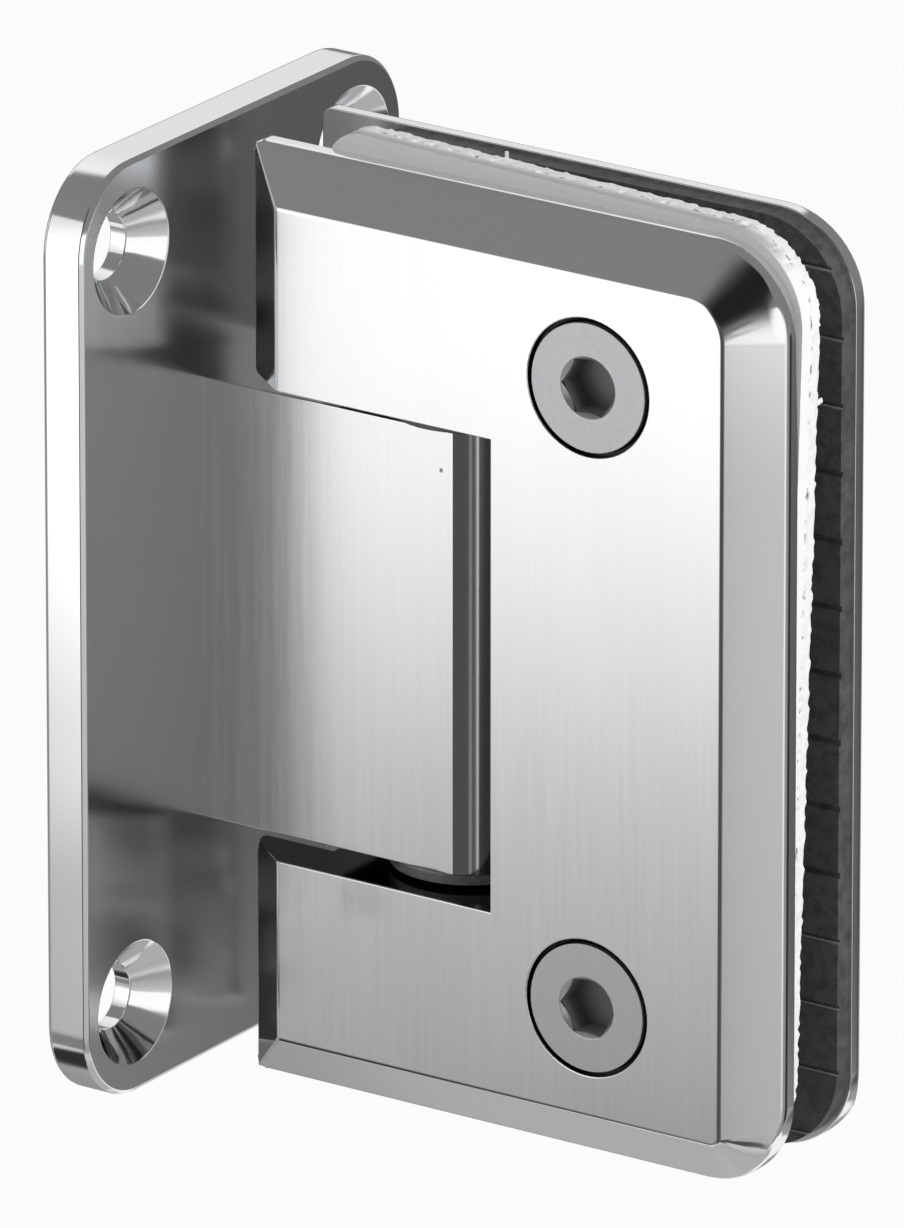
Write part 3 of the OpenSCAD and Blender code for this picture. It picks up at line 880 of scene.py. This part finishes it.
@dataclass
class ClampLeaves:
    """Front and back leaf of the glass clamp."""

    sizes: HingeSizes
    edges: EdgeBreak = EdgeBreak()
    rim_round: float = 0.5
    rim_segments: int = 4
    rim_angles: tuple[float, float] = (40.0, 62.0)
    smudges: tuple[Mark, ...] = (
        Mark(24.6, -24.3, 3.8, 3.0, 0.13), Mark(22.4, -25.2, 1.2, 3.6, 0.08))
    straight_to: float = 27.0
    first_bend: float = 4.0
    reach: float = 0.03
    inner_slack: float = 0.6
    foot_slack: float = 0.65

    def dress(self) -> None:
        """Gives both leaves satin faces and polished bevels."""
        # the leaves get painted shade in their screw-head grooves, notch and wall-side bevel
        metal = SatinMetal("leaf_satin", crevice_dark=True, marks=self.smudges)
        material = metal.material(self.sizes)
        for name in ("front_leaf", "back_leaf"):
            dress(name, material, self.edges, self.soften_rim, self.tighten_corner)

    def soften_rim(self, form: Form) -> None:
        """Rounds the foot of the bevels, which polishing has softened more than their head.

        Args:
            form: Form of the leaf.
        """
        foot_y = (self.sizes.leaf_face_y - self.sizes.bevel_h) * MM
        edges = [edge for edge in convex_edges(form, *self.rim_angles)
                 if all(abs(abs(vertex.co.y) - foot_y) < ON_PLANE for vertex in edge.verts)]
        round_edges(form, edges, self.rim_round, self.rim_segments, clamp_overlap=False,
                    miter_outer="ARC")

    def tighten_corner(self, form: Form) -> None:
        """Draws the lower free corner of the face out sharp and runs the side bevel on below it.

        Args:
            form: Form of the leaf.
        """
        sizes = self.sizes
        inner = sizes.free_r - sizes.bevel_w
        middle = Vector((sizes.leaf_x1 - sizes.free_r, -sizes.leaf_h / 2 + sizes.free_r))
        inset = sizes.bevel_w + sizes.low_corner_r
        close = Vector((sizes.leaf_x1 - inset, -sizes.leaf_h / 2 + inset))
        slope = sizes.bevel_h / sizes.bevel_w
        foot_y = sizes.leaf_face_y - sizes.bevel_h
        most = sizes.free_r * (1.0 - math.cos(math.radians(self.straight_to))) * slope
        for vertex in form.verts:
            arm = Vector((vertex.co.x, vertex.co.z)) / MM - middle
            depth = abs(vertex.co.y) / MM
            if (arm.x < -self.reach or arm.y > self.reach
                    or arm.length < inner - self.inner_slack or depth < foot_y - self.foot_slack):
                continue
            turn = min(max(math.degrees(math.atan2(-arm.y, arm.x)), 0.0), 90.0)
            late = max(0.0, (turn - self.straight_to) / (90.0 - self.straight_to))
            bend = (min(turn / self.straight_to, 1.0) * self.first_bend
                    + late * (90.0 - self.first_bend))
            beyond = min(arm.length - inner, self.edges.blunt)
            share = (arm.length - inner - beyond) / (sizes.bevel_w - self.edges.blunt)
            shift = (close - middle + (sizes.low_corner_r + beyond) * self._way(bend)
                     - (inner + beyond) * self._way(turn)) * (1.0 - min(share, 1.0))
            rise = sizes.free_r * (1.0 - math.cos(math.radians(turn))) * slope
            if late > 0.0:
                rise = most * 0.5 * (1.0 + math.cos(math.pi * late))
            vertex.co.x += shift.x * MM
            vertex.co.z += shift.y * MM
            vertex.co.y = math.copysign((depth + rise * min(share, 1.0)) * MM, vertex.co.y)

    @staticmethod
    def _way(turn: float) -> Vector:
        """Returns the direction a number of degrees below the free side."""
        return Vector((math.cos(math.radians(turn)), -math.sin(math.radians(turn))))


@dataclass
class Fasteners:
    """Clamp screws, pin lock screws and the threaded plugs behind the springs."""

    sizes: HingeSizes
    edges: EdgeBreak = EdgeBreak(0.06, 0.06, 2)

    def dress(self) -> None:
        """Gives the screws their metal."""
        satin = ScrewMetal().material(self.sizes)
        dark = WorkedSteel("plug_steel", (0.12, 0.12, 0.125), 0.42).material()
        for side in Side:
            dress(f"{side.word}_clamp_screw", satin, self.edges)
            dress(f"{side.word}_lock_screw", dark)
            dress(f"{side.word}_spring_plug", dark)


@dataclass
class Gaskets:
    """Pale front gasket, black back gasket and the sleeves around the clamp screws."""

    cut_edge: CutEdge = CutEdge()
    groove_pitch: float = 6.4
    groove_shift: float = 2.2
    back_face_y: float = 2.95

    def dress(self) -> None:
        """Gives the soft parts their finish."""
        pale = Elastomer("gasket_pale", (0.94, 0.945, 0.95), (0.84, 0.845, 0.85),
                         cut_from_y=self.cut_edge.border_y).material()
        # the black gasket gets painted highlights on its groove lips
        black = Elastomer("gasket_black", (0.1, 0.104, 0.108), (0.06, 0.062, 0.065), 0.6,
                          groove_pitch=self.groove_pitch, groove_shift=self.groove_shift,
                          groove_from_y=self.back_face_y).material()
        sleeve = Elastomer("sleeve_polymer", (0.75, 0.74, 0.7), (0.6, 0.59, 0.55), 0.5,
                           2000.0, 0.01).material()
        node = frame["nodes"]["front_gasket"]
        piece = self.cut_edge.work(node, "front_gasket_cut")
        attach(piece, node["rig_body"])
        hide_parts("front_gasket")
        piece.data.materials.append(pale)
        LOG.info("built front_gasket_cut, %d faces", len(piece.data.polygons))
        dress("back_gasket", black)
        for side in Side:
            dress(f"{side.word}_sleeve", sleeve)


@dataclass
class PivotSet:
    """Pin, bushes, plungers and springs inside the knuckle."""

    def dress(self) -> None:
        """Gives the moving parts their finish."""
        ground = WorkedSteel("pin_steel", (0.6, 0.6, 0.6), 0.25, Grain.TURNED).material()
        plunger = WorkedSteel("plunger_steel", (0.55, 0.55, 0.55), 0.3).material()
        wire = WorkedSteel("spring_wire", (0.45, 0.45, 0.47), 0.3).material()
        bush = Elastomer("bush_polymer", (0.26, 0.263, 0.267), (0.2, 0.203, 0.206), 0.35,
                         1500.0, 0.01).material()
        dress("pivot_pin", ground)
        for side in Side:
            dress(f"{side.word}_bush", bush)
            dress(f"{side.word}_plunger", plunger)
            dress(f"{side.word}_spring", wire)


def sight(azimuth: float, elevation: float) -> Vector:
    """Returns the direction from the hinge to a viewpoint, given in degrees."""
    turn, rise = math.radians(azimuth), math.radians(elevation)
    return Vector((math.sin(turn) * math.cos(rise), -math.cos(turn) * math.cos(rise),
                   math.sin(rise)))


def hide_from_view(piece: Piece) -> None:
    """Marks a reflector as stage, seen in the metal alone.

    Args:
        piece: Card or tent.
    """
    piece.visible_camera = False
    piece.visible_diffuse = False
    piece.visible_shadow = False


@dataclass(frozen=True)
class Tent:
    """Grey tent around the hinge that the metal reflects where no card stands."""

    radius: float = 0.95
    glow: float = 0.22
    low_glow: float = 0.3
    change: tuple[float, float] = (-0.6, 0.2)

    def build(self, centre: Vector) -> None:
        """Builds the tent.

        Args:
            centre: Middle of the tent.
        """
        bpy.ops.mesh.primitive_uv_sphere_add(radius=self.radius, segments=48, ring_count=24,
                                             location=centre)
        tent = bpy.context.active_object
        tent.name = "tent"
        bench = Bench("tent_grey")
        low, high = self.change
        strength = bench.ramp(bench.place().z, low * self.radius, high * self.radius,
                              self.low_glow, self.glow)
        light = bench.add("ShaderNodeEmission", {"Strength": strength})
        tent.data.materials.append(bench.finish(light))
        hide_from_view(tent)


@dataclass(frozen=True)
class Card:
    """Studio card that the metal reflects, lit or dark, with soft edges."""

    name: str
    azimuth: float
    elevation: float
    distance: float
    width: float
    height: float
    tones: tuple[tuple[float, float], ...]
    soft: tuple[float, float, float, float] = (0.15, 0.15, 0.15, 0.15)
    upright: bool = False

    def place(self, centre: Vector) -> tuple[Vector, Vector]:
        """Works out where the card stands.

        Args:
            centre: Point that the card faces.

        Returns:
            The card's middle and the direction of its back.
        """
        if self.upright:
            level = sight(self.azimuth, 0.0)
            rise = Vector((0.0, 0.0, math.tan(math.radians(self.elevation))))
            return centre + (level + rise) * self.distance, level
        back = sight(self.azimuth, self.elevation)
        return centre + back * self.distance, back

    def build(self, centre: Vector) -> None:
        """Builds the card around the hinge.

        Args:
            centre: Point that the card faces.
        """
        bpy.ops.mesh.primitive_plane_add(size=1.0)
        card = bpy.context.active_object
        card.name = self.name
        card.scale = (self.width, self.height, 1.0)
        middle, back = self.place(centre)
        card.location = middle
        card.rotation_euler = back.to_track_quat("Z", "Y").to_euler()
        bench = Bench(self.name)
        here = bench.place()
        left, right, bottom, top = self.soft
        cover = bench.times(*(bench.ramp(place, edge, edge + reach) for place, edge, reach in (
            (here.x, -0.5, left), (here.x, 0.5, -right),
            (here.y, -0.5, bottom), (here.y, 0.5, -top))))
        light = bench.add("ShaderNodeEmission", {"Strength": self._tone(bench, here.y)})
        clear = bench.add("ShaderNodeBsdfTransparent")
        mixed = bench.add("ShaderNodeMixShader", {0: cover, 1: clear.outputs[0],
                                                  2: light.outputs[0]})
        card.data.materials.append(bench.finish(mixed))
        hide_from_view(card)

    def _tone(self, bench: Bench, upward: Socket) -> object:
        """Adds the card's glow, which may change from bottom to top.

        Args:
            bench: Node tree to add to.
            upward: Height on the card, from -0.5 to 0.5.

        Returns:
            The glow, as a number or a socket.
        """
        glow: object = self.tones[0][1]
        for (low, before), (high, after) in zip(self.tones, self.tones[1:]):
            step = bench.ramp(upward, low - 0.5, high - 0.5, 0.0, after - before)
            glow = bench.math("ADD", glow, step)
        return glow


@dataclass(frozen=True)
class Lamp:
    """Soft lamp for the pieces that aren't metal; the metal sees cards in its place."""

    name: str
    azimuth: float
    elevation: float
    power: float
    size: float = 0.5
    distance: float = 1.0

    def build(self, centre: Vector) -> None:
        """Builds the lamp.

        Args:
            centre: Point that the lamp faces.
        """
        away = sight(self.azimuth, self.elevation)
        data = bpy.data.lights.new(self.name, "AREA")
        data.energy = self.power
        data.size = self.size
        lamp = bpy.data.objects.new(self.name, data)
        lamp.location = centre + away * self.distance
        lamp.rotation_euler = away.to_track_quat("Z", "Y").to_euler()
        lamp.visible_glossy = False
        bpy.context.scene.collection.objects.link(lamp)


@dataclass
class Studio:
    """Floor, cards, lamps, backdrop and camera, matched to the photograph's viewpoint."""

    azimuth: float = 34.03
    elevation: float = 19.97
    distance: float = 1.837
    target: tuple[float, float, float] = (0.0345, 0.0, 0.0)
    target_px: tuple[float, float] = (516.5, 638.1)
    px_per_mm: float = 11.024
    width_px: int = 904
    height_px: int = 1228
    sensor_mm: float = 36.0
    clip: tuple[float, float] = (0.01, 20.0)
    floor_z: float = -0.6
    floor_size: float = 8.0
    floor_colour: Colour = (0.86, 0.86, 0.86)
    floor_white: float = 1.04
    floor_share: float = 0.9
    ambient: float = 0.28
    cards: tuple[Card, ...] = (
        Card("front_left_glow", -29.0, -14.6, 0.25, 0.30, 0.47,
             ((0.0, 0.15), (0.30, 0.2), (0.36, 0.52), (0.415, 0.60), (0.45, 0.99), (0.50, 1.42),
              (0.54, 1.55), (0.65, 1.45), (1.0, 1.1)), (0.5, 0.15, 0.1, 0.03), True),
        Card("lower_edge_dark", -53.0, -49.5, 0.24, 0.14, 0.07, ((0.0, 0.03),),
             (0.3, 0.2, 0.2, 0.2)),
        Card("left_glow", -73.0, 5.0, 0.4, 0.14, 0.22, ((0.0, 1.0),), (0.25, 0.25, 0.2, 0.2)),
        Card("front_dark", 17.5, -12.0, 0.46, 0.42, 0.8, ((0.0, 0.075),), (0.25, 0.05, 0.2, 0.1)),
        Card("nose_strip", 33.0, -20.0, 0.4, 0.03, 0.34, ((0.0, 0.3),), (0.4, 0.4, 0.1, 0.1)),
        Card("front_right_glow", 50.0, -23.5, 0.45, 0.16, 0.66,
             ((0.0, 0.3), (0.25, 0.35), (0.45, 0.48), (0.60, 0.60), (0.66, 1.1),
              (1.0, 1.15)), (0.15, 0.1, 0.02, 0.02), True),
        Card("right_glow", 66.0, -8.0, 0.5, 0.26, 0.5, ((0.0, 0.9), (1.0, 1.1)),
             (0.2, 0.35, 0.3, 0.3), True),
        Card("top_front_grey", -52.0, 46.0, 0.5, 0.5, 0.33, ((0.0, 0.24), (1.0, 0.22)),
             (0.2, 0.3, 0.02, 0.15)),
        Card("camera_dark", 16.0, 36.0, 0.44, 0.40, 0.36, ((0.0, 0.015),),
             (0.6, 0.15, 0.02, 0.3)),
        Card("back_right_grey", 146.0, -20.0, 0.6, 0.5, 0.5,
             ((0.0, 0.36), (0.38, 0.34), (0.45, 0.13), (0.56, 0.12), (0.63, 0.17), (1.0, 0.2))),
        Card("back_right_dark", 153.0, -20.0, 0.58, 0.16, 0.4, ((0.0, 0.05),),
             (0.3, 0.2, 0.3, 0.2)),
        Card("back_left_dark", -146.0, -21.0, 0.7, 0.6, 0.2, ((0.0, 0.05),)),
        Card("below_left_grey", -103.0, -57.0, 0.3, 0.35, 0.35,
             ((0.0, 0.5), (0.43, 0.45), (0.49, 0.34), (0.56, 0.31), (1.0, 0.29))),
        Card("slot_dark", 112.0, -20.0, 0.6, 0.3, 0.34, ((0.0, 0.03),)),
        Card("under_grey", 36.0, -80.0, 0.53, 0.8, 0.6, ((0.0, 0.46),)),
        Card("table_front", 36.0, -58.0, 0.5, 0.4, 0.22, ((0.0, 0.4), (1.0, 0.62)),
             (0.3, 0.3, 0.3, 0.03)),
        Card("back_left_glow", -135.0, 36.0, 0.3, 0.32, 0.28, ((0.0, 0.78), (1.0, 0.98)),
             (0.1, 0.1, 0.15, 0.12)),
    )
    lamps: tuple[Lamp, ...] = (
        Lamp("right_lamp", 85.0, 22.0, 7.6),
        Lamp("left_lamp", -50.0, 45.0, 2.2),
    )
    tent: Tent = Tent()

    def camera(self) -> None:
        """Builds the camera."""
        outward = sight(self.azimuth, self.elevation)
        right = sight(self.azimuth + 90.0, 0.0)
        up = right.cross(-outward)
        centre = Vector(self.target)
        centre -= right * ((self.target_px[0] - self.width_px / 2) / self.px_per_mm * MM)
        centre += up * ((self.target_px[1] - self.height_px / 2) / self.px_per_mm * MM)
        place = Vector(self.target) + outward * self.distance
        data = bpy.data.cameras.new("camera")
        data.sensor_width = self.sensor_mm
        data.lens = self.px_per_mm * self.distance / MM / self.height_px * data.sensor_width
        data.clip_start, data.clip_end = self.clip
        camera = bpy.data.objects.new("camera", data)
        camera.location = place
        camera.rotation_euler = (centre - place).to_track_quat("-Z", "Y").to_euler()
        bpy.context.scene.collection.objects.link(camera)
        bpy.context.scene.camera = camera

    def floor(self) -> None:
        """Builds the pale floor."""
        bpy.ops.mesh.primitive_plane_add(size=self.floor_size, location=(0.0, 0.0, self.floor_z))
        floor = bpy.context.active_object
        floor.name = "floor"
        bench = Bench("floor_pale")
        paths = bench.add("ShaderNodeLightPath").outputs
        seen = bench.math("MAXIMUM", paths["Is Camera Ray"], paths["Is Glossy Ray"])
        seen = bench.math("MAXIMUM", seen, paths["Is Transmission Ray"])
        matt = bench.add("ShaderNodeBsdfDiffuse", {"Color": (*self.floor_colour, 1.0)})
        white = bench.add("ShaderNodeEmission", {"Strength": self.floor_white})
        mixed = bench.add("ShaderNodeMixShader", {0: bench.times(seen, self.floor_share),
                                                  1: matt.outputs[0], 2: white.outputs[0]})
        floor.data.materials.append(bench.finish(mixed))

    def world(self) -> None:
        """Makes the surround white to the eye and dimmer as a light."""
        world = bpy.data.worlds.new("white_surround")
        bpy.context.scene.world = world
        world.use_nodes = True
        tree = world.node_tree
        paths = tree.nodes.new("ShaderNodeLightPath")
        seen = tree.nodes.new("ShaderNodeMath")
        seen.operation = "MAXIMUM"
        tree.links.new(paths.outputs["Is Camera Ray"], seen.inputs[0])
        tree.links.new(paths.outputs["Is Transmission Ray"], seen.inputs[1])
        strength = tree.nodes.new("ShaderNodeMapRange")
        strength.inputs["To Min"].default_value = self.ambient
        strength.inputs["To Max"].default_value = 1.0
        tree.links.new(seen.outputs[0], strength.inputs["Value"])
        background = tree.nodes["Background"]
        background.inputs["Color"].default_value = (1.0, 1.0, 1.0, 1.0)
        tree.links.new(strength.outputs[0], background.inputs["Strength"])

    def build(self) -> None:
        """Builds the whole studio."""
        self.camera()
        self.floor()
        self.world()
        self.tent.build(Vector(self.target))
        for item in (*self.cards, *self.lamps):
            item.build(Vector(self.target))
        scene = bpy.context.scene
        scene.view_settings.view_transform = "Standard"
        LOG.info("studio with %d cards and %d lamps", len(self.cards), len(self.lamps))


def main() -> None:
    """Builds the pieces in order and reports each of them."""
    logging.basicConfig(level=logging.INFO, format="%(name)s: %(message)s")
    sizes = HingeSizes()
    Studio().build()
    WallBracket(sizes).dress()
    ClampLeaves(sizes).dress()
    Fasteners(sizes).dress()
    Gaskets().dress()
    PivotSet().dress()


if __name__ == "__main__":
    main()
